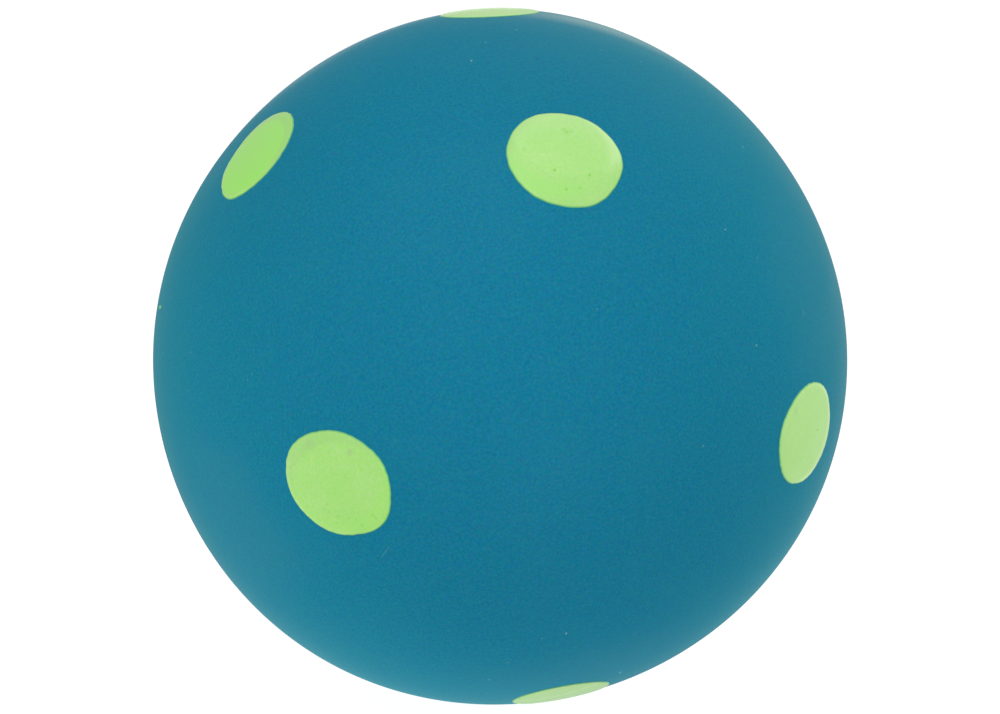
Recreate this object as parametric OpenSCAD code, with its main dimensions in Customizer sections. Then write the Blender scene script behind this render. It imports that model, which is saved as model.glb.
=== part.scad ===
// Squeaky dog ball: a cast latex skin set with latex dots, packed with fibre,
// with a reed squeaker pressed into its mouth.
// The origin is the middle of the flat foot that the ball stands on. +Z is up and -Y is the front.

/* [Ball] */
// Outside diameter of the skin
ball_d = 70; // [62:1:80]
// Thickness of the skin
skin_wall = 2.4; // [1.8:0.1:3.2]
// Width of the flat foot where the mouth is trimmed
foot_d = 21; // [20.5:0.5:24]

/* [Dots] */
// Width of a dot
dot_d = 9.5; // [7:0.5:11]
// Depth of the dimple that holds a dot
dot_depth = 0.5; // [0.3:0.1:0.9]
// Height of the middle of a dot above the skin
dot_crown = 0.15; // [0.05:0.05:0.4]
// Latitude of the ring of dots above the equator, in degrees
upper_lat = 44; // [38:1:50]
// Latitude of the middle ring of dots, in degrees
middle_lat = 0; // [-5:1:5]
// Latitude of the ring of dots below the equator, in degrees
lower_lat = -49.5; // [-52:0.5:-40]
// Turn of the first dot of the upper ring from the front, in degrees
first_dot_turn = 14; // [0:1:71]

/* [Mouth] */
// Height of the collar that grips the squeaker, from the foot
collar_h = 8; // [6:0.5:9]
// Thickness of the collar outside the flange of the squeaker
collar_wall = 2; // [1.2:0.1:3]
// Draft of the outside of the collar, in degrees
collar_draft = 8; // [2:1:12]

/* [Squeaker plug] */
// Width of the flange
flange_d = 17; // [15:0.5:18.5]
// Thickness of the flange
flange_t = 1.6; // [1.2:0.1:2.2]
// Bevel round the outer edge of the flange
flange_bevel = 0.4; // [0.2:0.1:0.8]
// Outside width of the barrel
barrel_d = 12; // [11:0.5:13]
// Height of the barb above the barrel
barb_h = 0.9; // [0.5:0.1:1.4]
// Length of the slope of the barb
barb_run = 1.8; // [1:0.2:2.4]
// Width of the bore that holds the reed and its bed
bore_d = 9; // [8:0.25:9.5]
// Height of the shoulder that the bed stands on, from the foot
shoulder_h = 3; // [2.6:0.1:4]
// Width of the sound hole
sound_hole_d = 3.6; // [2.5:0.1:5]
// Width of the countersink at the mouth of the sound hole
sound_flare_d = 6; // [5.2:0.1:7]
// Depth of that countersink
sound_flare_h = 0.9; // [0.4:0.1:1.1]

/* [Reed] */
// Width of the reed
reed_w = 3.6; // [2.8:0.1:4.6]
// Thickness of the reed
reed_t = 0.2; // [0.1:0.05:0.4]
// Length of the reed
reed_len = 10.5; // [8:0.5:11]
// Length of the tail of the reed behind the pinch
reed_tail = 1.5; // [1:0.1:1.8]
// Length of the bed
bed_len = 13; // [12.5:0.5:15]
// Height of the pinch above the shoulder
pinch_h = 2; // [1.9:0.1:3]
// Length of the clamp in front of the pinch
clamp_nose = 2; // [1:0.25:3]
// Angle at which the bed falls away from the reed, in degrees
lay_angle = 4; // [3.5:0.25:6]
// Angle at which the clamp falls away from the reed, in degrees
clamp_angle = 12; // [6:1:20]
// Width of the air channel under the reed
channel_w = 2.4; // [1.6:0.1:2.6]
// Depth of the air channel
channel_depth = 1.6; // [0.8:0.1:2.2]
// Length of bed left closed at the tip end of the channel
channel_end = 3.2; // [3:0.1:5]

/* [Fibre guard] */
// Thickness of the perforated end
guard_t = 1.2; // [0.8:0.1:2]
// Length of the skirt that clips over the barrel
guard_skirt = 3; // [2:0.5:4]
// Thickness of the skirt
guard_wall = 1; // [0.6:0.1:1.6]
// Width of each hole
guard_hole_d = 1.6; // [1:0.1:2]
// Width of the ring of holes
guard_ring_d = 6.4; // [5.6:0.1:7.4]

/* [Fits] */
// Room between a dot and its dimple, taken up by the bond
dot_bond = 0.05; // [0.03:0.01:0.08]
// Room between the squeaker and the mouth that grips it
mouth_fit = 0.06; // [0.04:0.01:0.1]
// Room between the pieces of the squeaker
squeaker_fit = 0.05; // [0.04:0.01:0.08]
// Room round the filling
filling_fit = 0.3; // [0.2:0.1:1]

/* [Hidden] */
$fn = 180;
ball_r = ball_d / 2;
foot_r = foot_d / 2;
dot_r = dot_d / 2;
flange_r = flange_d / 2;
barrel_r = barrel_d / 2;
bore_r = bore_d / 2;
cut = 1;

// The middle of the ball stands this high above its foot
ball_rise = sqrt(ball_r ^ 2 - foot_r ^ 2);
cavity_r = ball_r - skin_wall;

// The dots are set by hand, so each strays from its even place: degrees along, degrees up
dots_in_ring = 5;
dot_step = 360 / dots_in_ring;
upper_stray = [[-1.4, 1.5], [19, -2], [11, 1], [5.5, 0.5], [-0.6, -1.3]];
middle_stray = [[1.4, 0], [-1, 1], [0.5, -1], [-0.5, 0.5], [-0.3, -0.5]];
lower_stray = [[1, 0], [-0.5, 1], [-1, -1], [-4.5, 0.5], [-7, 1]];

// Each dot's latitude and turn from the front, by ring; neighbouring rings are half a step apart.
// The top dot sits a little to the left of the very top.
function ring_places(lat, turn, stray) =
    [for (i = [0 : dots_in_ring - 1]) [lat + stray[i][1], turn + i * dot_step + stray[i][0]]];
top_place = [88.3, -70];
upper_places = ring_places(upper_lat, first_dot_turn, upper_stray);
middle_places = ring_places(middle_lat, first_dot_turn + dot_step / 2, middle_stray);
lower_places = ring_places(lower_lat, first_dot_turn, lower_stray);
dot_places = concat([top_place], upper_places, middle_places, lower_places);

// The meridian midway between the dots of neighbouring rings, turned from +X
front_turn = -90;
seam_turn = first_dot_turn + dot_step / 4 + front_turn;

// The crown of a dot is a sphere through its rim, flush with the skin, and through its middle
rim_height = sqrt(ball_r ^ 2 - dot_r ^ 2);
crown_rise = ball_r + dot_crown - rim_height;
crown_r = (dot_r ^ 2 + crown_rise ^ 2) / (2 * crown_rise);

collar_r = flange_r + mouth_fit + collar_wall;
collar_base_h = skin_wall / 2;
collar_top_r = collar_r - (collar_h - collar_base_h) * tan(collar_draft);
barb_foot_h = collar_h + mouth_fit;
barrel_top = shoulder_h + bed_len;

cartridge_r = bore_r - squeaker_fit;
pinch_z = shoulder_h + pinch_h;
pinch_y = reed_t / 2 + squeaker_fit;
clamp_top = pinch_z + clamp_nose;
reed_tip_z = pinch_z - reed_tail + reed_len;
guard_r = barrel_r + squeaker_fit + guard_wall;
guard_top = barrel_top + guard_t;
guard_holes = 6;

LATEX = "#177a9b";
DOT_LATEX = "#a8dc84";
PLUG_PLASTIC = "#e9e7df";
REED_PLASTIC = "#d8d2bc";
FIBRE = "#f4f4f0";

upper_names = [for (i = [1 : dots_in_ring]) str("dot_upper_", i)];
middle_names = [for (i = [1 : dots_in_ring]) str("dot_middle_", i)];
lower_names = [for (i = [1 : dots_in_ring]) str("dot_lower_", i)];
dot_names = concat(["dot_top"], upper_names, middle_names, lower_names);
inner_names = ["squeaker_plug", "reed_bed", "reed", "reed_clamp", "fibre_guard", "fibre_filling"];

// A sphere about the middle of the ball, with its seam running up between the dots
module round_about_middle(r) {
    translate([0, 0, ball_rise])
        rotate([0, 0, seam_turn])
            sphere(r);
}

// Puts children that point up +Z on the ball, at a latitude and a turn from the front
module on_ball(place) {
    translate([0, 0, ball_rise])
        rotate([0, 0, place[1]])
            rotate([90 - place[0], 0, 0])
                children();
}

// A round peg through the skin where a dot goes
module dot_peg(r, place) {
    on_ball(place)
        translate([0, 0, rim_height - dot_depth - cut])
            cylinder(r = r, h = ball_r - rim_height + dot_depth + 2 * cut);
}

// Every dimple: pegs that stop at the floor of the dimple, which follows the skin
module dimples() {
    difference() {
        for (place = dot_places)
            dot_peg(dot_r, place);
        round_about_middle(ball_r - dot_depth);
    }
}

// The thick collar that stands inside the mouth
module collar() {
    translate([0, 0, collar_base_h])
        cylinder(r1 = collar_r, r2 = collar_top_r, h = collar_h - collar_base_h);
}

// The stepped hole in the mouth: a seat for the flange and a bore for the barrel
module mouth_hole() {
    translate([0, 0, -cut])
        cylinder(r = flange_r + mouth_fit, h = flange_t + mouth_fit + cut);
    cylinder(r = barrel_r + mouth_fit, h = collar_h + cut);
}

// Everything below the foot, trimmed off the casting
module below_foot() {
    translate([-ball_r, -ball_r, -ball_d])
        cube([ball_d, ball_d, ball_d]);
}

// The hollow cast skin, with its dimples, its collar and its trimmed mouth
module skin() {
    color(LATEX)
        difference() {
            union() {
                difference() {
                    round_about_middle(ball_r);
                    round_about_middle(cavity_r);
                }
                collar();
            }
            dimples();
            mouth_hole();
            below_foot();
        }
}

// One domed dot in its dimple
module dot(place) {
    color(DOT_LATEX)
        difference() {
            intersection() {
                dot_peg(dot_r - dot_bond, place);
                on_ball(place)
                    translate([0, 0, ball_r + dot_crown - crown_r])
                        sphere(crown_r);
            }
            round_about_middle(ball_r - dot_depth + dot_bond);
        }
}

// The flanged barrel, turned from its profile: flange, barrel, barb, bore, shoulder and sound hole
module squeaker_plug() {
    color(PLUG_PLASTIC)
        rotate_extrude()
            polygon([
                [sound_flare_d / 2, 0],
                [flange_r - flange_bevel, 0],
                [flange_r, flange_bevel],
                [flange_r, flange_t],
                [barrel_r, flange_t],
                [barrel_r, barb_foot_h],
                [barrel_r + barb_h, barb_foot_h],
                [barrel_r, barb_foot_h + barb_run],
                [barrel_r, barrel_top],
                [bore_r, barrel_top],
                [bore_r, shoulder_h],
                [sound_hole_d / 2, shoulder_h],
                [sound_hole_d / 2, sound_flare_h]
            ]);
}

// Keeps of a side profile, points of [y, z], what lies inside the bore
module cut_to_bore(profile) {
    intersection() {
        translate([0, 0, shoulder_h])
            cylinder(r = cartridge_r, h = bed_len);
        rotate([90, 0, 90])
            translate([0, 0, -bore_d])
                linear_extrude(2 * bore_d)
                    polygon(profile);
    }
}

// The half-round bed: a ridge under the pinch, a sloping lay and the air channel
module reed_bed() {
    tail_fall = pinch_h * tan(lay_angle);
    lay_fall = (barrel_top - pinch_z) * tan(lay_angle);
    color(REED_PLASTIC)
        difference() {
            cut_to_bore([
                [-bore_d, shoulder_h],
                [-pinch_y - tail_fall, shoulder_h],
                [-pinch_y, pinch_z],
                [-pinch_y - lay_fall, barrel_top],
                [-bore_d, barrel_top]
            ]);
            translate([-channel_w / 2, -pinch_y - channel_depth, shoulder_h - cut])
                cube([channel_w, channel_depth + cut, bed_len - channel_end + cut]);
        }
}

// The thin tongue, with a round tip
module reed() {
    color(REED_PLASTIC)
        translate([0, reed_t / 2, 0])
            rotate([90, 0, 0])
                linear_extrude(reed_t)
                    union() {
                        translate([-reed_w / 2, pinch_z - reed_tail])
                            square([reed_w, reed_len - reed_w / 2]);
                        translate([0, reed_tip_z - reed_w / 2])
                            circle(reed_w / 2);
                    }
}

// The half-round wedge that pinches the root of the reed on its bed
module reed_clamp() {
    tail_fall = pinch_h * tan(clamp_angle);
    nose_fall = clamp_nose * tan(clamp_angle);
    color(PLUG_PLASTIC)
        cut_to_bore([
            [bore_d, shoulder_h],
            [pinch_y + tail_fall, shoulder_h],
            [pinch_y, pinch_z],
            [pinch_y + nose_fall, clamp_top],
            [bore_d, clamp_top]
        ]);
}

// The perforated cap that clips over the inner end of the barrel
module fibre_guard() {
    color(PLUG_PLASTIC)
        difference() {
            translate([0, 0, barrel_top - guard_skirt])
                cylinder(r = guard_r, h = guard_skirt + guard_t);
            translate([0, 0, barrel_top - guard_skirt - cut])
                cylinder(r = barrel_r + squeaker_fit, h = guard_skirt + cut);
            translate([0, 0, barrel_top - cut]) {
                cylinder(d = guard_hole_d, h = guard_t + 2 * cut);
                for (i = [0 : guard_holes - 1])
                    rotate([0, 0, i * 360 / guard_holes])
                        translate([guard_ring_d / 2, 0, 0])
                            cylinder(d = guard_hole_d, h = guard_t + 2 * cut);
            }
        }
}

// The wad of fibre, which fills the skin round the squeaker
module fibre_filling() {
    color(FIBRE)
        difference() {
            round_about_middle(cavity_r - filling_fit);
            translate([0, 0, -cut])
                cylinder(r = collar_r + filling_fit, h = collar_h + filling_fit + cut);
            cylinder(r = max(guard_r, barrel_r + barb_h) + filling_fit, h = guard_top + filling_fit);
        }
}

skin();
for (i = [0 : len(dot_names) - 1])
    dot(dot_places[i]);
squeaker_plug();
reed_bed();
reed();
reed_clamp();
fibre_guard();
fibre_filling();
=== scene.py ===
import bpy
import numpy as np
from mathutils import Matrix, Vector


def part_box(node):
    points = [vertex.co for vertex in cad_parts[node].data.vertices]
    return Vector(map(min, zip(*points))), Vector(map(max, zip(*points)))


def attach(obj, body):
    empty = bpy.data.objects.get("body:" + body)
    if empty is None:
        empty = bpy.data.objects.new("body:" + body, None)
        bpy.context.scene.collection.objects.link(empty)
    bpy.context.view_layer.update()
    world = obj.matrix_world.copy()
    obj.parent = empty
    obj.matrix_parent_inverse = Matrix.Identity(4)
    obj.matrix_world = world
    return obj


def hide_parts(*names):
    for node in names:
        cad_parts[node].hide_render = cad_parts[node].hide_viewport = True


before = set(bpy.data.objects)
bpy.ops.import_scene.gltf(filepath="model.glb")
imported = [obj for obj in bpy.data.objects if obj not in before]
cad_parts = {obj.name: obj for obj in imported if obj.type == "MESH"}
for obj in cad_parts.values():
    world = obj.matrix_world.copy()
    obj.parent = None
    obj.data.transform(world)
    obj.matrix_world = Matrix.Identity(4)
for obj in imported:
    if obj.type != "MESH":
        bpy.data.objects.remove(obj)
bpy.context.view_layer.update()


# Skin: the hollow ball, slush-cast in teal latex about 2.4 mm thick. It has a shallow dish
# under every dot and a thick collar inside its trimmed mouth, and like any thin latex
# casting it comes off the mould a little out of round.
MM = 0.001
BALL_R = 35 * MM
CAVITY_R = 32.6 * MM
FOOT_R = 10.5 * MM
BALL_RISE = np.sqrt(BALL_R**2 - FOOT_R**2)
BALL_MIDDLE = np.array([0, 0, BALL_RISE])
LOBE_AXIS_RISE = 17.85
LOBES = {2: (0.27, 54.9), 3: (0.40, -23.6), 4: (0.22, -13.5), 5: (0.11, 19.8)}
LOBES_FADE = (-71.0, -60.0)
DISH_DEPTH = 0.45 * MM
DISH_WALL = (5.6, 6.8)
SEAT_R, SEAT_H = 8.56 * MM, 1.66 * MM
MOUTH_R, COLLAR_H = 6.06 * MM, 8 * MM
COLLAR_TOP_R, COLLAR_ROOT = 9.6 * MM, (10.38 * MM, 2.485 * MM)
MOUTH_FILLETS = np.array([0.6, 0.25, 0.1, 0.2, 0.25, 0.5, 0.4]) * MM
LIP_LAT, ROOT_LAT = -71.2, -70.6
SKIN_COLUMNS, SKIN_ROWS, CAVITY_ROWS = 360, 180, 44
GRAIN_SCALE = 4600
PORE_DEPTH = 0.02 * MM
MARK_DEPTH = 2
TEAL = np.array([0.0087, 0.1775, 0.335])
TEAL_GRAIN = np.array([0.017, 0.090, 0.140])
TEAL_PALE = (0.020, 0.212, 0.332, 1)
TEAL_BLOOM = (0.05, 1.0, 0.15, 1)
DUST = (0.26, 0.45, 0.50, 1)
# Pale scuff colour, also a painted sheen: the pale band along the upper right edge of the ball.
SCUFF_AND_SHEEN = (0.28, 0.41, 0.485, 1)
GRIT_AND_SHADOW = (0.010, 0.085, 0.15, 1)
SPLASH = (0.27, 0.64, 0.14, 1)


def on_ball(lat, turn):
    """Unit directions from the middle of the ball, by latitude above the equator and turn
    round from the front, both in degrees."""
    lat, turn = np.broadcast_arrays(np.radians(lat), np.radians(turn))
    return np.stack([np.cos(lat) * np.sin(turn), -np.cos(lat) * np.cos(turn), np.sin(lat)], -1)


def smooth_step(x, low, high):
    """0 below low, 1 above high, and 3t^2 - 2t^3 of the way between."""
    t = np.clip((x - low) / (high - low), 0, 1)
    return t * t * (3 - 2 * t)


def skin_radius(d):
    """Outside radius of the skin in direction d: the ball's radius, swollen by lobes about a
    tilted axis. With w = x + iy across that axis, lobe n adds a * Re[(w * e^(-i*turn))^n],
    and all of them fade out towards the mouth."""
    rise = np.radians(LOBE_AXIS_RISE)
    w = d[..., 0] + 1j * (d[..., 1] * np.sin(rise) + d[..., 2] * np.cos(rise))
    swell = sum(
        per_cent / 100 * np.real((w * np.exp(-1j * np.radians(turn))) ** n)
        for n, (per_cent, turn) in LOBES.items()
    )
    lat = np.degrees(np.arcsin(np.clip(d[..., 2], -1, 1)))
    return BALL_R * (1 + swell * smooth_step(lat, *LOBES_FADE))


def dot_middle(node):
    """Unit direction from the middle of the ball to the middle of a dot's solid."""
    low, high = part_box(node)
    d = np.array((low + high) / 2) - BALL_MIDDLE
    return d / np.linalg.norm(d)


dot_nodes = sorted(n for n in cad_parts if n.startswith("dot_"))
dot_middles = {n: dot_middle(n) for n in dot_nodes}


def dishes(d):
    """Depth of the dishes in direction d: a smooth step from the wall of a dish to its floor,
    by the angle from the middle of the nearest dot."""
    nearest = np.max(d @ np.array(list(dot_middles.values())).T, axis=-1)
    angle = np.degrees(np.arccos(np.clip(nearest, -1, 1)))
    return DISH_DEPTH * (1 - smooth_step(angle, *DISH_WALL))


def rounded(corners, radii, steps=5):
    """A line through corners, each inner corner turned into an arc of its radius q: the arc
    leaves each side q / tan(half the corner's angle) from the corner."""
    corners = np.asarray(corners, float)
    path = [corners[:1]]
    share = np.linspace(0, 1, steps + 1)[:, None]
    for before, corner, after, q in zip(corners, corners[1:], corners[2:], radii):
        u, v = before - corner, after - corner
        u, v = u / np.linalg.norm(u), v / np.linalg.norm(v)
        half = np.arccos(np.clip(u @ v, -1, 1)) / 2
        middle = corner + (u + v) / np.linalg.norm(u + v) * q / np.sin(half)
        start, end = corner + u * q / np.tan(half) - middle, corner + v * q / np.tan(half) - middle
        sweep = np.pi - 2 * half
        arc = np.sin((1 - share) * sweep) * start + np.sin(share * sweep) * end
        path.append(middle + arc / np.sin(sweep))
    return np.concatenate([*path, corners[-1:]])


def turned(profile, columns):
    """Rings of a profile of (radius, height) points turned once round the Z axis."""
    turn = np.linspace(0, 2 * np.pi, columns, endpoint=False)
    r, z = profile[:, :1], profile[:, 1:]
    return np.stack([r * np.sin(turn), -r * np.cos(turn), z + 0 * turn], -1)


def shell(name, rings, material, loop=False):
    """A closed mesh from rings of points, each ring joined to the next. The first and last
    rings are single points, or with loop the last ring joins the first again."""
    rows, columns = rings.shape[:2]
    near = np.arange(columns)
    far = (near + 1) % columns
    if loop:
        points = rings.reshape(-1, 3)
        start = np.arange(rows)[:, None] * columns
        after = (np.arange(rows)[:, None] + 1) % rows * columns
        caps = []
    else:
        points = np.concatenate([rings[0, :1], rings[1:-1].reshape(-1, 3), rings[-1, :1]])
        start = 1 + np.arange(rows - 3)[:, None] * columns
        after = start + columns
        last = 1 + (rows - 3) * columns
        top, end = 0 * near, 0 * near + len(points) - 1
        caps = [*np.stack([top, 1 + near, 1 + far], -1).tolist(),
                *np.stack([last + near, end, last + far], -1).tolist()]
    quads = np.stack([start + near, after + near, after + far, start + far], -1).reshape(-1, 4)
    mesh = bpy.data.meshes.new(name)
    mesh.from_pydata(points.tolist(), [], quads.tolist() + caps)
    mesh.shade_smooth()
    mesh.materials.append(material)
    piece = bpy.data.objects.new(name, mesh)
    bpy.context.scene.collection.objects.link(piece)
    return piece


def finish_named(name):
    """A new material, its node tree and its shader."""
    material = bpy.data.materials.new(name)
    material.use_nodes = True
    return material, material.node_tree, material.node_tree.nodes["Principled BSDF"]


def add(tree, kind, links=None, values=None, **settings):
    """A node of a kind, with its settings, its sockets' values, and links from other sockets."""
    node = tree.nodes.new("ShaderNode" + kind)
    for key, value in settings.items():
        setattr(node, key, value)
    for key, value in (values or {}).items():
        node.inputs[key].default_value = value
    for key, source in (links or {}).items():
        tree.links.new(source, node.inputs[key])
    return node


def blended(tree, share, below, above):
    """Colour: below where share is 0 and above where it is 1."""
    mix = add(tree, "Mix", data_type="RGBA", links={0: share})
    for socket, colour in ((mix.inputs[6], below), (mix.inputs[7], above)):
        if isinstance(colour, tuple):
            socket.default_value = colour
        else:
            tree.links.new(colour, socket)
    return mix.outputs[2]


def ramped(tree, source, low, high, bottom=0.0, top=1.0):
    """A number brought from the range low to high into bottom to top, by a smooth step."""
    ramp = add(tree, "MapRange", links={"Value": source}, interpolation_type="SMOOTHSTEP",
               values={"From Min": low, "From Max": high, "To Min": bottom, "To Max": top})
    return ramp.outputs["Result"]


def marks(tree, place, spots, core=0.35):
    """Strength of marks on the skin: full out to the core's share of the way, 0 at the edge. A
    spot is its latitude and turn, its length and width in mm, its slant from level in degrees,
    and its strength in the middle."""
    total = None
    for lat, turn, long, wide, slant, strength in spots:
        d = on_ball(lat, turn)
        at = BALL_MIDDLE + d * skin_radius(d)
        round_z = Matrix.Rotation(np.radians(turn), 3, "Z")
        back_x = Matrix.Rotation(np.radians(-lat), 3, "X")
        slant_y = Matrix.Rotation(np.radians(-slant), 3, "Y")
        size = (long * MM / 2, max(long, MARK_DEPTH) * MM / 2, wide * MM / 2)
        laid = add(tree, "Mapping", vector_type="TEXTURE", links={"Vector": place}, values={
            "Location": at, "Rotation": (round_z @ back_x @ slant_y).to_euler(), "Scale": size})
        far = add(tree, "VectorMath", operation="LENGTH", links={0: laid.outputs[0]}).outputs["Value"]
        mark = ramped(tree, far, 1.0, core, 0.0, strength)
        total = mark if total is None else add(
            tree, "Math", operation="MAXIMUM", links={0: total, 1: mark}).outputs[0]
    return total


dust_spots = [
    (65.0, -9.5, 0.22, 0.42, 0, 0.7), (70.4, -6.1, 0.2, 0.45, 0, 0.35),
    (75.2, 9.7, 0.25, 0.5, 0, 0.3), (67.1, 41.3, 0.22, 0.4, 0, 0.22),
    (12.0, -52.4, 0.28, 0.22, 0, 0.2), (17.4, -64.9, 0.4, 0.22, 0, 0.2),
    (6.3, -52.4, 0.3, 0.22, 0, 0.15), (12.3, -36.9, 0.25, 0.2, 0, 0.15),
    (11.3, -37.8, 0.25, 0.2, 0, 0.12), (-24.7, 10.3, 0.24, 0.4, 0, 0.7),
    (-40.8, 25.0, 0.3, 0.5, 0, 1.0), (-25.4, 6.5, 0.22, 0.3, 0, 0.2),
    (-31.5, 1.3, 0.35, 0.3, 30, 0.2), (-37.2, -1.9, 0.3, 0.35, 0, 0.3),
    (-27.4, 22.3, 0.9, 0.14, 58, 0.12), (-9.8, -15.8, 2.2, 0.22, 56, 0.1),
    (43.5, 59.2, 0.3, 0.3, 0, 0.4), (32.3, 39.7, 0.4, 0.22, 20, 0.35),
    (27.4, 44.8, 0.25, 0.25, 0, 0.25), (17.8, 52.9, 0.9, 0.2, 80, 0.22),
    (15.8, 39.6, 0.26, 0.26, 0, 0.6), (3.9, 28.5, 0.25, 0.25, 0, 0.3),
]
grit_and_shadow_spots = [
    (65.4, 12.6, 0.35, 0.7, 0, 0.5), (-36.1, 14.9, 0.35, 0.5, 0, 0.35),
    (12.8, 37.5, 0.5, 0.3, 0, 0.3), (45.3, -40.5, 0.25, 0.25, 0, 0.25),
    (27.6, 42.5, 0.25, 0.25, 0, 0.4), (18.1, 4.2, 0.5, 0.2, 75, 0.4),
    # A painted shadow: a faint dark spot at the lower right of the lime splash.
    (14.4, -70.0, 0.44, 1.6, 106, 0.25),
]
splash_spots = [(14.12, -71.7, 0.48, 2.5, 106, 0.8)]
# Scuff and painted sheen: a pale band along the upper right edge of the ball, and a faint wider haze round
# it.
scuff_and_sheen_spots = [(74.26, 79.5, 28.0, 9.5, -77, 0.9), (74.26, 79.5, 38.0, 19.0, -77, 0.13)]
teal_latex, tree, shader = finish_named("teal_latex")
place = add(tree, "TexCoord").outputs["Object"]
grain = add(tree, "TexNoise", links={"Vector": place}, values={"Scale": GRAIN_SCALE, "Detail": 0.0})
cloud = add(tree, "TexNoise", links={"Vector": place}, values={"Scale": 150, "Detail": 4.0}).outputs[0]
colour = add(tree, "VectorMath", operation="MULTIPLY_ADD", links={0: grain.outputs["Color"]},
             values={1: TEAL_GRAIN, 2: TEAL - TEAL_GRAIN / 2}).outputs[0]
colour = blended(tree, ramped(tree, cloud, 0.45, 0.75, 0.0, 0.12), colour, TEAL_PALE)
motes = add(tree, "TexVoronoi", links={"Vector": place}, values={"Scale": 230, "Randomness": 1.0})
few = add(tree, "SeparateColor", links={0: motes.outputs["Color"]}).outputs[0]
mote = add(tree, "Math", operation="MULTIPLY", links={
    0: ramped(tree, motes.outputs["Distance"], 0.035, 0.012),
    1: ramped(tree, few, 0.55, 0.95, 0.0, 0.25)}).outputs[0]
# The scuff and painted sheen band is grained and mixed into the teal's colour.
scuff_and_sheen = add(tree, "Math", operation="MULTIPLY", links={
    0: marks(tree, place, scuff_and_sheen_spots, core=0.0),
    1: ramped(tree, grain.outputs[0], 0.25, 0.75, 0.8, 1.0)}).outputs[0]
colour = blended(tree, scuff_and_sheen, colour, SCUFF_AND_SHEEN)
colour = blended(tree, mote, colour, DUST)
colour = blended(tree, marks(tree, place, dust_spots), colour, DUST)
# Dark grit specks, and one painted shadow beside the splash.
colour = blended(tree, marks(tree, place, grit_and_shadow_spots), colour, GRIT_AND_SHADOW)
colour = blended(tree, marks(tree, place, splash_spots), colour, SPLASH)
tree.links.new(colour, shader.inputs["Base Color"])
pores = add(tree, "Bump", links={"Height": grain.outputs[0]},
            values={"Strength": 0.12, "Distance": PORE_DEPTH})
tree.links.new(pores.outputs[0], shader.inputs["Normal"])
shader.inputs["Roughness"].default_value = 0.6
shader.inputs["Specular IOR Level"].default_value = 0.0
shader.inputs["Coat Weight"].default_value = 0.29
shader.inputs["Coat IOR"].default_value = 1.2
shader.inputs["Coat Roughness"].default_value = 0.2
shader.inputs["Sheen Weight"].default_value = 0.095
shader.inputs["Sheen Roughness"].default_value = 0.95
shader.inputs["Sheen Tint"].default_value = TEAL_BLOOM

outside = on_ball(np.linspace(90, LIP_LAT, SKIN_ROWS)[:, None],
                  np.linspace(0, 360, SKIN_COLUMNS, endpoint=False))
outside = BALL_MIDDLE + outside * (skin_radius(outside) - dishes(outside))[..., None]
lip = [BALL_R * np.cos(np.radians(LIP_LAT)), BALL_RISE + BALL_R * np.sin(np.radians(LIP_LAT))]
root = [CAVITY_R * np.cos(np.radians(ROOT_LAT)), BALL_RISE + CAVITY_R * np.sin(np.radians(ROOT_LAT))]
mouth = rounded(
    [lip, [FOOT_R, 0], [SEAT_R, 0], [SEAT_R, SEAT_H], [MOUTH_R, SEAT_H], [MOUTH_R, COLLAR_H],
     [COLLAR_TOP_R, COLLAR_H], COLLAR_ROOT, root], MOUTH_FILLETS)
cavity_lat = np.radians(np.linspace(ROOT_LAT, 90, CAVITY_ROWS))
cavity = np.stack([CAVITY_R * np.cos(cavity_lat), BALL_RISE + CAVITY_R * np.sin(cavity_lat)], -1)
inside = [turned(mouth[1:-1], SKIN_COLUMNS), turned(cavity, SKIN_COLUMNS)]
skin = shell("latex_skin", np.concatenate([outside, *inside]), teal_latex)
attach(skin, "ball")
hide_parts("skin")


# Dots: sixteen thin pads of lime latex, poured into the dishes of the skin and set by hand.
# Each stands about a tenth of a millimetre proud with a rounded shoulder that thins to a feather
# edge. Its outline is a little uneven, and small bubbles have left pinholes in its face.
DOT_COLUMNS, DOT_ROWS, DOT_CROWDING = 288, 56, 1.25
DOT_PROUD, DOT_DOME, DOT_SHOULDER = 0.10 * MM, 0.03 * MM, 0.5 * MM
DOT_LIP, DOT_BURIED, DOT_FLOOR = 0.03 * MM, 0.12 * MM, 0.40 * MM
DOT_UNDER = (0.72, 0.88)
DOT_WIDTHS = (7.5, 7.9)
LOBE_COUNTS, LOBE_MOST = range(2, 7), 5
RAGGED_COUNTS, RAGGED_MOST = range(9, 40, 3), 0.16
FEATHER, FEATHER_SHARE = 0.17 * MM, 0.85
# The painted highlight along one side of a dot's shoulder: its inset from the edge and its width, in mm.
HIGHLIGHT_IN, HIGHLIGHT_WIDE = 0.3, 0.18
PINHOLE_DEPTH = 0.04 * MM
LIME = np.array([0.457, 0.820, 0.245])
LIME_GRAIN = np.array([0.12, 0.065, 0.16])
LIME_STRONG = (0.325, 0.788, 0.138, 1)
# Rich and pale lime: a dot's own tone, and also painted shade where a face is shaded and painted light
# where it is lit.
LIME_RICH_AND_SHADED = (0.37, 0.87, 0.15, 1)
LIME_PALE_AND_LIT = (0.60, 0.93, 0.39, 1)
LIME_THIN = (0.035, 0.38, 0.18, 1)
# Painted shade in the pinholes.
LIME_PIT_SHADE = (0.24, 0.68, 0.06, 1)
# Grey lime: grey spots, and painted shade and sheen in grey arcs.
LIME_GREY_AND_SHADE = (0.36, 0.60, 0.26, 1)
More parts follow.
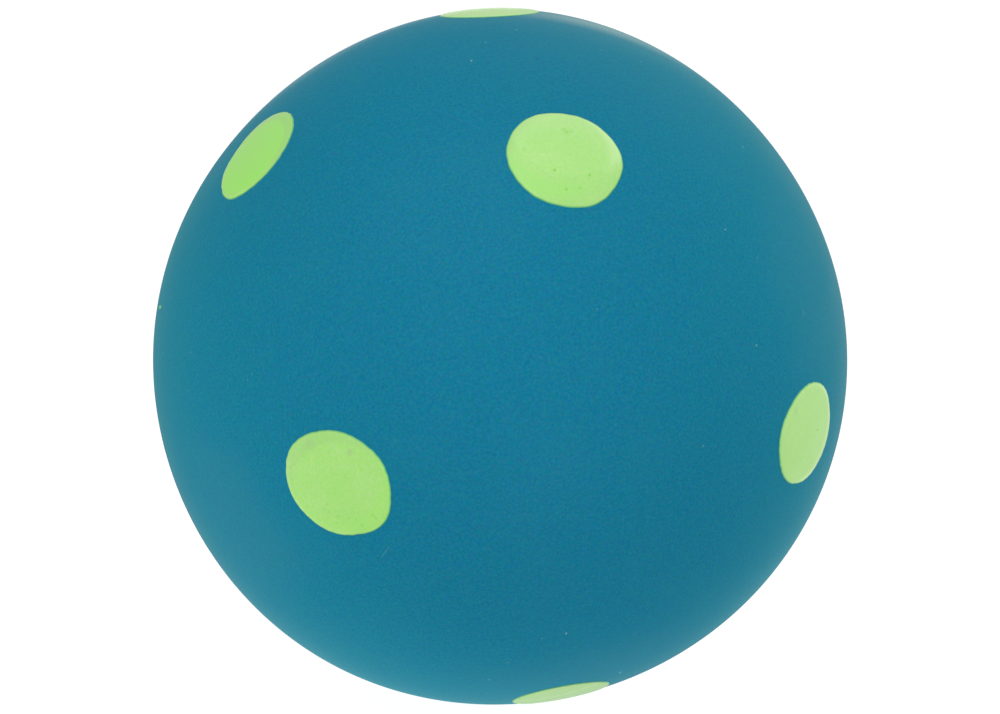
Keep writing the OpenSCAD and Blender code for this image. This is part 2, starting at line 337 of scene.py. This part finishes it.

# The dots on the front, given one by one. An outline is the angle from its middle to its edge, and
# lobes of a count, a height in per cent and a turn. Pinholes and grey spots are spots for peaks,
# greys and painted light arcs for beyond, in mm from the dot's middle; a grey spot 60 mm wide greys
# the whole dot. Greys are painted shade and sheen. Painted light is painted shade and light across
# a face: richer where it is shaded, paler where it is lit. Tone and light is 0 for pale and 1 for
# rich: the dot's own tone, with the painted light added to it. An edge is the turn and strength of
# the painted highlight along one side of its shoulder.
front_dots = {
    "dot_upper_1": {
        "outline": (7.86, [(2, 1.8, -33), (3, 0.8, 19), (4, 0.5, 17), (5, 0.4, -4), (6, 0.7, -7)]),
        "pinholes": [
            (-1.15, -1.30, 0.28, 1.0), (1.69, -1.89, 0.28, 1.0), (-0.46, -3.13, 0.26, 1.0),
            (0.63, -3.08, 0.24, 0.9), (-0.23, -1.26, 0.2, 0.6), (1.01, 1.30, 0.2, 0.6),
            (1.66, 0.67, 0.16, 0.5), (4.14, -0.89, 0.22, 0.6), (0.32, 2.72, 0.45, 0.55),
            (0.55, 2.45, 0.5, 0.6), (0.92, 2.55, 0.45, 0.5), (-3.25, 0.97, 0.55, 0.42)],
        "grey_spots": [(0, 0, 60, 0.09)],
        "greys": [(0.35, -0.35, 4.8, 0.3, 0.15), (0.7, 2.7, 5.15, 0.8, 0.12), (0, -4, 7.0, 1.5, 0.08)],
        "tone_and_light": 0.40,
        "painted_light": [(0.7, 2.7, 5.15, 0.8, 0.37), (-0.8, 0.7, 4.6, 0.5, -0.2), (0, -4, 7.0, 1.5, -0.1)],
        "edge": (-40, 0.1),
    },
    "dot_upper_5": {
        "outline": (7.75, [(2, 3.9, -61), (3, 1.2, 28), (4, 0.6, 33), (5, 0.9, -1), (6, 0.5, -22)]),
        "pinholes": [],
        "grey_spots": [],
        "greys": [(-0.35, -1.0, 4.65, 0.3, 0.3)],
        "tone_and_light": 0.86,
        "painted_light": [(1.2, 0, 4.9, 0.6, -0.5), (0.3, 1.6, 4.6, 1.2, 0.2)],
        "edge": (-35, 0.6),
    },
    "dot_middle_1": {
        "outline": (7.85, [(2, 3.2, -17), (3, 0.6, -49), (4, 0.9, -27), (6, 0.6, -18)]),
        "pinholes": [(1.61, -0.07, 0.32, 1.0)],
        "grey_spots": [(-2.6, 2.9, 0.7, 0.25)],
        "tone_and_light": 0.32,
        "painted_light": [(-0.8, 0.7, 4.9, 0.4, -0.12)],
        "edge": (-15, 0.5),
    },
    "dot_middle_5": {
        "outline": (7.80, [(2, 4.0, -16), (3, 0.6, 56), (4, 0.9, -33), (5, 0.5, 35), (6, 0.8, 26)]),
        "pinholes": [
            (-0.92, -1.89, 0.26, 0.6), (-1.25, -2.41, 0.26, 0.6), (-0.79, -2.60, 0.28, 0.6),
            (-0.12, -2.39, 0.24, 0.5), (0.03, -2.82, 0.28, 0.6), (1.04, -2.83, 0.24, 0.5),
            (1.67, -2.83, 0.26, 0.55), (1.90, -2.15, 0.26, 0.5), (3.21, -2.23, 0.28, 0.6),
            (3.46, -2.48, 0.28, 0.6), (2.17, -3.31, 0.28, 0.75), (-0.22, -3.52, 0.24, 0.5),
            (2.32, 1.62, 0.3, 0.6), (0.89, 0.99, 0.26, 0.4)],
        "grey_spots": [(1.36, 3.01, 0.55, 0.6), (-2.35, 3.21, 0.9, 0.32)],
        "greys": [(0.75, -1.35, 5.05, 0.25, 0.22)],
        "tone_and_light": 0.45,
        "painted_light": [(-0.8, 1.6, 4.7, 0.8, 0.25)],
        "edge": (-125, 0.2),
    },
    "dot_lower_1": {
        "outline": (7.68, [(2, 1.0, 0)]),
        "grey_spots": [(0, 0, 60, 0.52)],
        "tone_and_light": 0.5,
        "painted_light": [(-6.26, 11.71, 11.83, 0.06, -0.8), (-6.26, 11.71, 12.07, 0.06, 0.8)],
        "edge": (-90, 0.0),
    },
    "dot_top": {
        "outline": (7.60, [(2, -3.0, 0)]),
        "grey_spots": [(0, 0, 60, 0.1)],
        "tone_and_light": 0.26,
        "painted_light": [],
        "edge": (90, 0.0),
    },
}
lime_latex, tree, shader = finish_named("lime_latex")
place = add(tree, "TexCoord").outputs["Object"]
grain = add(tree, "TexNoise", links={"Vector": place}, values={"Scale": GRAIN_SCALE, "Detail": 0.0})
cloud = add(tree, "TexNoise", links={"Vector": place}, values={"Scale": 420, "Detail": 3.0}).outputs[0]
painted = add(tree, "Attribute", attribute_name="face")
face = add(tree, "SeparateColor", links={0: painted.outputs["Color"]})
colour = add(tree, "VectorMath", operation="MULTIPLY_ADD", links={0: grain.outputs["Color"]},
             values={1: LIME_GRAIN, 2: LIME - LIME_GRAIN / 2}).outputs[0]
colour = blended(tree, ramped(tree, cloud, 0.35, 0.7, 0.05, 0.33), colour, LIME_STRONG)
colour = blended(tree, ramped(tree, grain.outputs[0], 0.8, 0.2, 0.0, 0.3), colour, LIME_STRONG)
# The alpha channel: each dot's tone with its painted light, shade and shoulder highlight; rich above 0.5,
# pale below.
colour = blended(tree, ramped(tree, painted.outputs["Alpha"], 0.5, 1.0), colour, LIME_RICH_AND_SHADED)
colour = blended(tree, ramped(tree, painted.outputs["Alpha"], 0.5, 0.0), colour, LIME_PALE_AND_LIT)
# The blue channel greys the face: grey spots, and painted shade and sheen.
colour = blended(tree, face.outputs[2], colour, LIME_GREY_AND_SHADE)
# The red channel darkens the pinholes: painted shade in the pits.
colour = blended(tree, ramped(tree, face.outputs[0], 0.05, 1.0, 0.0, 0.9), colour, LIME_PIT_SHADE)
colour = blended(tree, face.outputs[1], colour, LIME_THIN)
tree.links.new(colour, shader.inputs["Base Color"])
pores = add(tree, "Bump", links={"Height": grain.outputs[0]},
            values={"Strength": 0.1, "Distance": PORE_DEPTH})
tree.links.new(pores.outputs[0], shader.inputs["Normal"])
shader.inputs["Roughness"].default_value = 0.26
shader.inputs["Specular IOR Level"].default_value = 0.5


def peaks(east, north, spots):
    """The tallest of a set of round bumps at each point: a spot of width w and strength h
    gives h * exp(-(distance / (w / 2))^2)."""
    heights = [h * np.exp(-((east - x) ** 2 + (north - y) ** 2) / (w / 2) ** 2)
               for x, y, w, h in spots]
    return np.max([0 * east, *heights], axis=0)


def beyond(east, north, arcs):
    """The sum of soft crescents, each the part of a face that lies outside a circle: middle
    (x, y), radius r, softness s and strength h give h * smooth step of the distance from r - s
    to r + s."""
    return sum((h * smooth_step(np.hypot(east - x, north - y), r - s, r + s)
                for x, y, r, s, h in arcs), 0 * east)


# The rows of a dot's mesh, as shares of the way from its middle: out over the face, crowded
# towards the edge, and back underneath.
chance = np.random.default_rng(16)
around = np.linspace(0, 2 * np.pi, DOT_COLUMNS, endpoint=False)
out = 1 - (1 - np.linspace(0, 1, DOT_ROWS)) ** DOT_CROWDING
back = np.array([1.0, 1.0, 0.97, *np.linspace(0.94, 0.66, 9), 0.4, 0.0])
for node in dot_nodes:
    known = front_dots.get(node, {})
    lobes = [(n, *chance.uniform((0, -90), (LOBE_MOST / n, 90))) for n in LOBE_COUNTS]
    width, lobes = known.get("outline", (chance.uniform(*DOT_WIDTHS), lobes))
    ragged = sum(chance.uniform(0, RAGGED_MOST) / 100 * np.cos(n * around + chance.uniform(0, 6.3))
                 for n in RAGGED_COUNTS)
    outline = width * (1 + ragged + sum(
        a / 100 * np.cos(n * (around - np.radians(turn))) for n, a, turn in lobes))
    d = dot_middles[node]
    east = np.cross([0, 0, 1], d)
    east /= np.linalg.norm(east)
    north = np.cross(d, east)
    share = np.concatenate([out, back])[:, None]
    angle = np.radians(share * outline)
    side = np.cos(around)[:, None] * east + np.sin(around)[:, None] * north
    aim = np.cos(angle)[..., None] * d + np.sin(angle)[..., None] * side
    inset = BALL_R * np.radians(outline) * (1 - share)
    shoulder = np.sqrt(1 - (1 - np.clip(inset[:DOT_ROWS] / DOT_SHOULDER, 0, 1)) ** 2)
    rise = DOT_PROUD * shoulder + DOT_DOME * (1 - out[:, None] ** 2)
    under = -DOT_BURIED - (DOT_FLOOR - DOT_BURIED) * (1 - smooth_step(back, *DOT_UNDER))
    under[0] = -DOT_LIP
    x, y = (BALL_R / MM * angle * f(around) for f in (np.cos, np.sin))
    loose = chance.uniform((-3, -3.6, 0.14, 0.4), (3, 1, 0.24, 0.9), (9, 4))
    pinhole = peaks(x, y, known.get("pinholes", loose))
    grey_spots = known.get("grey_spots", [(*chance.uniform(-3, 3, 2), 0.5, 0.4)])
    rise = rise - PINHOLE_DEPTH * pinhole[:DOT_ROWS]
    lift = np.concatenate([rise, np.repeat(under[:, None], DOT_COLUMNS, 1)])
    rings = BALL_MIDDLE + aim * (skin_radius(aim) + lift)[..., None]
    dot = shell("latex_" + node, rings, lime_latex)
    thin = FEATHER_SHARE * (1 - smooth_step(inset, 0, FEATHER))
    # Dots without their own list get a random tone and a painted crescent of shade on one side.
    faced, tone_and_light = chance.uniform((0, 0.4), (6.3, 0.7))
    shaded_crescent = [(2.6 * np.cos(faced), 2.6 * np.sin(faced), 5.1, 0.8, 0.2)]
    # A painted highlight: a pale line along one side of the shoulder, taken off the dot's tone.
    highlight_turn, shoulder_highlight = known.get("edge", (np.degrees(faced), 0.3))
    shoulder_highlight = shoulder_highlight * np.exp(-((inset / MM - HIGHLIGHT_IN) / HIGHLIGHT_WIDE) ** 2)
    shoulder_highlight = shoulder_highlight * np.clip(np.cos(around - np.radians(highlight_turn)), 0, 1)
    tone_and_light = known.get("tone_and_light", tone_and_light) + beyond(x, y, known.get("painted_light", shaded_crescent)) - shoulder_highlight
    # Grey spots, and the greys: painted shade and sheen in arcs near the edge and across the face.
    grey_and_shade = peaks(x, y, grey_spots) + beyond(x, y, known.get("greys", []))
    tint = np.clip(np.stack([pinhole, thin, grey_and_shade, tone_and_light], -1), 0, 1)
    tint = np.concatenate([tint[0, :1], tint[1:-1].reshape(-1, 4), tint[-1, :1]])
    dot.data.attributes.new("face", "FLOAT_COLOR", "POINT").data.foreach_set("color", tint.ravel())
    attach(dot, "ball")
    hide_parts(node)


# Squeaker plug: the flanged barrel that is pressed into the mouth, injection moulded in
# off-white plastic. Its edges are softened as the mould leaves them.
IVORY = (0.81, 0.80, 0.74, 1)
IVORY_SHADE = (0.72, 0.70, 0.62, 1)
PLUG_COLUMNS = 192
PLUG_ROUGHNESS = 0.38
MOULD_GRAIN_DEPTH = 0.02 * MM
plug_corners = np.array([
    (6, 16), (6, 9.86), (6.9, 8.06), (6, 8.06), (6, 1.6), (8.5, 1.6), (8.5, 0.4), (8.1, 0),
    (3, 0), (1.8, 0.9), (1.8, 3), (4.5, 3), (4.5, 16)]) * MM
plug_edges = np.array([0.3, 0.4, 0.2, 0.15, 0.15, 0.3, 0.2, 0.15, 0.3, 0.3, 0.3, 0.2, 0.3]) * MM


def moulded_plastic(name, colour, shade, roughness):
    """Satin moulded plastic: a slow drift of colour, and the fine spark-eroded grain of the
    mould."""
    material, tree, shader = finish_named(name)
    place = add(tree, "TexCoord").outputs["Object"]
    drift = add(tree, "TexNoise", links={"Vector": place}, values={"Scale": 260, "Detail": 3.0}).outputs[0]
    grain = add(tree, "TexNoise", links={"Vector": place}, values={"Scale": 6000, "Detail": 1.0}).outputs[0]
    colour = blended(tree, ramped(tree, drift, 0.35, 0.75), colour, shade)
    tree.links.new(colour, shader.inputs["Base Color"])
    polish = ramped(tree, drift, 0.3, 0.7, roughness - 0.06, roughness + 0.06)
    tree.links.new(polish, shader.inputs["Roughness"])
    eroded = add(tree, "Bump", links={"Height": grain},
                 values={"Strength": 0.15, "Distance": MOULD_GRAIN_DEPTH})
    tree.links.new(eroded.outputs[0], shader.inputs["Normal"])
    return material


plug_plastic = moulded_plastic("plug_plastic", IVORY, IVORY_SHADE, PLUG_ROUGHNESS)
looped = np.concatenate([plug_corners[-1:], plug_corners, plug_corners[:1]])
plug_profile = rounded(looped, plug_edges)[1:-1]
plug = shell("squeaker_barrel", turned(plug_profile, PLUG_COLUMNS), plug_plastic, loop=True)
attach(plug, "ball")
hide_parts("squeaker_plug")


# Reed and bed: the thin tongue that sounds, and the half-round bed it beats on, both in a
# hard cream plastic, pressed into the bore of the barrel.
CREAM = (0.69, 0.65, 0.51, 1)
CREAM_SHADE = (0.62, 0.57, 0.43, 1)
REED_ROUGHNESS = 0.22


def finished(nodes, material):
    """Gives the solids of these nodes one material."""
    for node in nodes:
        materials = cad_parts[node].data.materials
        materials.clear()
        materials.append(material)


finished(("reed", "reed_bed"), moulded_plastic("reed_plastic", CREAM, CREAM_SHADE, REED_ROUGHNESS))


# Clamp and fibre guard: the wedge that pinches the reed's root, and the perforated cap that
# keeps the fibre out of the barrel, moulded in the same plastic as the plug.
finished(("reed_clamp", "fibre_guard"), plug_plastic)


# Filling: a wad of white polyester fibre, teased out and packed round the squeaker, lumpy
# where it was stuffed in by the handful.
FIBRE = (0.86, 0.86, 0.84, 1)
FIBRE_SHADE = (0.62, 0.63, 0.63, 1)
FLUFF_DEPTH = 0.2 * MM
WAD_R, WAD_END_LAT = 32.1 * MM, -68.6
WAD_COLUMNS, WAD_ROWS = 300, 190
WAD_LUMP = 0.9 * MM
WAD_FILLET = 0.6 * MM
WAD_HEART = BALL_MIDDLE + [0, 0, 4 * MM]
LUMP_PITCHES, LUMP_HEIGHTS, LUMP_WAVES = (120, 260, 520), (0.06, 0.04, 0.025), 8
wad_pocket = np.array([(10.95, 3.3), (10.95, 8.4), (7.45, 8.4), (7.45, 17.6), (0, 17.6)]) * MM
fibre, tree, shader = finish_named("fibre")
place = add(tree, "TexCoord").outputs["Object"]
strands = add(tree, "TexNoise", links={"Vector": place},
              values={"Scale": 900, "Detail": 4.0, "Distortion": 3.5}).outputs[0]
colour = blended(tree, ramped(tree, strands, 0.35, 0.65), FIBRE_SHADE, FIBRE)
tree.links.new(colour, shader.inputs["Base Color"])
fluff = add(tree, "Bump", links={"Height": strands}, values={"Strength": 0.6, "Distance": FLUFF_DEPTH})
tree.links.new(fluff.outputs[0], shader.inputs["Normal"])
shader.inputs["Roughness"].default_value = 0.9
shader.inputs["Sheen Weight"].default_value = 0.4
wad_lat = np.radians(np.linspace(90, WAD_END_LAT, WAD_ROWS))
wad = np.stack([WAD_R * np.cos(wad_lat), BALL_RISE + WAD_R * np.sin(wad_lat)], -1)
pocket = rounded(np.concatenate([wad[-1:], wad_pocket]), np.full(4, WAD_FILLET))
wad = np.concatenate([wad, pocket[1:]])
rings = turned(wad, WAD_COLUMNS)
waves = chance.normal(size=(3 * LUMP_WAVES, 3)) * np.repeat(LUMP_PITCHES, LUMP_WAVES)[:, None]
phases = chance.uniform(0, 2 * np.pi, 3 * LUMP_WAVES)
lumps = np.sin(rings @ waves.T + phases) @ np.repeat(LUMP_HEIGHTS, LUMP_WAVES)
inward = WAD_HEART - rings
inward /= np.linalg.norm(inward, axis=-1, keepdims=True)
on_sphere = (np.arange(len(wad)) < WAD_ROWS)[:, None]
rings = rings + inward * (WAD_LUMP * np.clip(0.5 + lumps, 0, 1) * on_sphere)[..., None]
filling = shell("fibre_wad", rings, fibre)
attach(filling, "ball")
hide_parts("fibre_filling")


# Floor: a plain white sweep that the ball stands on. It shows white to the camera, with a
# faint shadow, and lets the even light of the room reach the underside of the ball. Mirrored in
# the latex it is greyer, most of all at the far left.
FLOOR_HALF = 4.0
FLOOR_WHITE = (0.9, 0.9, 0.9, 1)
SHADOW_SHARE = 0.16
FLOOR_SEEN = 1.17
FLOOR_NEAR, FLOOR_LEFT, FLOOR_RIGHT = 0.62, 0.44, 0.66
FLOOR_MIDDLE = (15 * MM, 0, 0)
FLOOR_FADE = (45 * MM, 115 * MM)
FLOOR_SIDES = (-60 * MM, 60 * MM)
floor_white, tree, shader = finish_named("floor_white")
shader.inputs["Base Color"].default_value = FLOOR_WHITE
shader.inputs["Roughness"].default_value = 1.0
shader.inputs["Specular IOR Level"].default_value = 0.0
rays = add(tree, "LightPath")
place = add(tree, "TexCoord").outputs["Object"]
across = add(tree, "SeparateXYZ", links={0: place}).outputs["X"]
across = ramped(tree, across, *FLOOR_SIDES, FLOOR_LEFT, FLOOR_RIGHT)
away = add(tree, "VectorMath", operation="DISTANCE", values={1: FLOOR_MIDDLE},
           links={0: place}).outputs["Value"]
mirrored = ramped(tree, away, *FLOOR_FADE, FLOOR_NEAR)
tree.links.new(across, mirrored.node.inputs["To Max"])
strength = add(tree, "Mix", data_type="FLOAT", links={0: rays.outputs["Is Glossy Ray"], 3: mirrored},
               values={2: FLOOR_SEEN}).outputs[0]
glow = add(tree, "Emission", links={"Strength": strength}, values={"Color": (1, 1, 1, 1)})
seen = add(tree, "Math", operation="MAXIMUM", links={
    0: rays.outputs["Is Camera Ray"], 1: rays.outputs["Is Glossy Ray"]}).outputs[0]
seen = add(tree, "Math", operation="MAXIMUM", links={
    0: seen, 1: rays.outputs["Is Transmission Ray"]}).outputs[0]
share = add(tree, "Math", operation="MULTIPLY", links={0: seen}, values={1: 1 - SHADOW_SHARE}).outputs[0]
sheet = add(tree, "MixShader", links={0: share, 1: shader.outputs[0], 2: glow.outputs[0]})
below = add(tree, "NewGeometry").outputs["Backfacing"]
clear = add(tree, "BsdfTransparent")
sheet = add(tree, "MixShader", links={0: below, 1: sheet.outputs[0], 2: clear.outputs[0]})
tree.links.new(sheet.outputs[0], tree.nodes["Material Output"].inputs["Surface"])
mesh = bpy.data.meshes.new("floor")
mesh.from_pydata([(-FLOOR_HALF, -FLOOR_HALF, 0), (FLOOR_HALF, -FLOOR_HALF, 0),
                  (FLOOR_HALF, FLOOR_HALF, 0), (-FLOOR_HALF, FLOOR_HALF, 0)], [], [(0, 1, 2, 3)])
mesh.materials.append(floor_white)
floor = bpy.data.objects.new("floor", mesh)
bpy.context.scene.collection.objects.link(floor)
floor.visible_diffuse = False
floor.visible_shadow = False


# Light: an even white room, whiter on the right, with five soft panels: overhead, beside the
# camera, behind on the right, low on the left, and under the floor for the light it throws back.
# A faint one behind the ball edges its top.
ROOM = 0.30
ROOM_LEFT, ROOM_RIGHT, ROOM_ABOVE = 0.45, 0.71, 0.65
ABOVE, ABOVE_FADE = (0.30, 0.30, 0.905), (0.7, 1.0)
world = bpy.data.worlds.new("white_room")
bpy.context.scene.world = world
world.use_nodes = True
tree = world.node_tree
rays = add(tree, "LightPath")
towards = add(tree, "TexCoord").outputs["Generated"]
across = add(tree, "SeparateXYZ", links={0: towards}).outputs["X"]
across = ramped(tree, across, -1.0, 1.0, ROOM_LEFT, ROOM_RIGHT)
above = add(tree, "VectorMath", operation="DOT_PRODUCT", links={0: towards}, values={1: ABOVE})
above = ramped(tree, above.outputs["Value"], *ABOVE_FADE, 0.0, ROOM_ABOVE)
mirrored = add(tree, "Math", operation="ADD", links={0: across, 1: above}).outputs[0]
level = add(tree, "Mix", data_type="FLOAT", links={0: rays.outputs["Is Glossy Ray"], 3: mirrored},
            values={2: ROOM}).outputs[0]
seen = add(tree, "Math", operation="MAXIMUM", links={
    0: rays.outputs["Is Camera Ray"], 1: rays.outputs["Is Transmission Ray"]}).outputs[0]
strength = add(tree, "Mix", data_type="FLOAT", links={0: seen, 2: level}, values={3: 1.0}).outputs[0]
tree.links.new(strength, tree.nodes["Background"].inputs["Strength"])
tree.nodes["Background"].inputs["Color"].default_value = (1, 1, 1, 1)


def panel(name, towards, far, size, level, mirrored=False):
    """A square soft panel facing the ball, from a direction and distance. The level is the
    share of full light it gives a surface that faces it: power = level * (pi * distance)^2."""
    lamp = bpy.data.lights.new(name, "AREA")
    lamp.size = size
    lamp.energy = level * (np.pi * far) ** 2
    light = bpy.data.objects.new(name, lamp)
    bpy.context.scene.collection.objects.link(light)
    towards = Vector(towards).normalized()
    light.location = Vector(BALL_MIDDLE) + towards * far
    light.rotation_euler = towards.to_track_quat("Z", "Y").to_euler()
    light.visible_camera = False
    light.visible_glossy = mirrored


panel("top_panel", (-0.200, -0.392, 0.893), far=0.45, size=0.36, level=0.650)
panel("front_panel", (0.197, -0.907, -0.370), far=0.45, size=0.22, level=0.410)
panel("right_panel", (0.889, 0.430, 0.100), far=0.45, size=0.22, level=0.532)
panel("left_panel", (-0.818, 0.125, -0.560), far=0.45, size=0.22, level=0.600)
panel("floor_panel", (0.200, 0.290, -0.935), far=0.45, size=0.22, level=0.495)
panel("back_panel", (-0.15, 0.98, 0.02), far=0.5, size=0.18, level=0.03, mirrored=True)


# Camera: close to the ball and a little above it, as a small product is photographed.
CAMERA_FAR = 4 * BALL_R
CAMERA_RISE = 17.85
CAMERA_NEAREST = 5 * MM
SENSOR_WIDTH, LENS_LENGTH = 36, 48.41
AIM_OFF = np.array([0.024, 0, 0.142]) * MM
lens = bpy.data.cameras.new("camera")
lens.sensor_width = SENSOR_WIDTH
lens.lens = LENS_LENGTH
lens.clip_start = CAMERA_NEAREST
camera = bpy.data.objects.new("camera", lens)
bpy.context.scene.collection.objects.link(camera)
camera.location = BALL_MIDDLE + AIM_OFF + CAMERA_FAR * on_ball(CAMERA_RISE, 0)
camera.rotation_euler = (np.radians(90 - CAMERA_RISE), 0, 0)
bpy.context.scene.camera = camera

bpy.context.scene.view_settings.view_transform = "Standard"
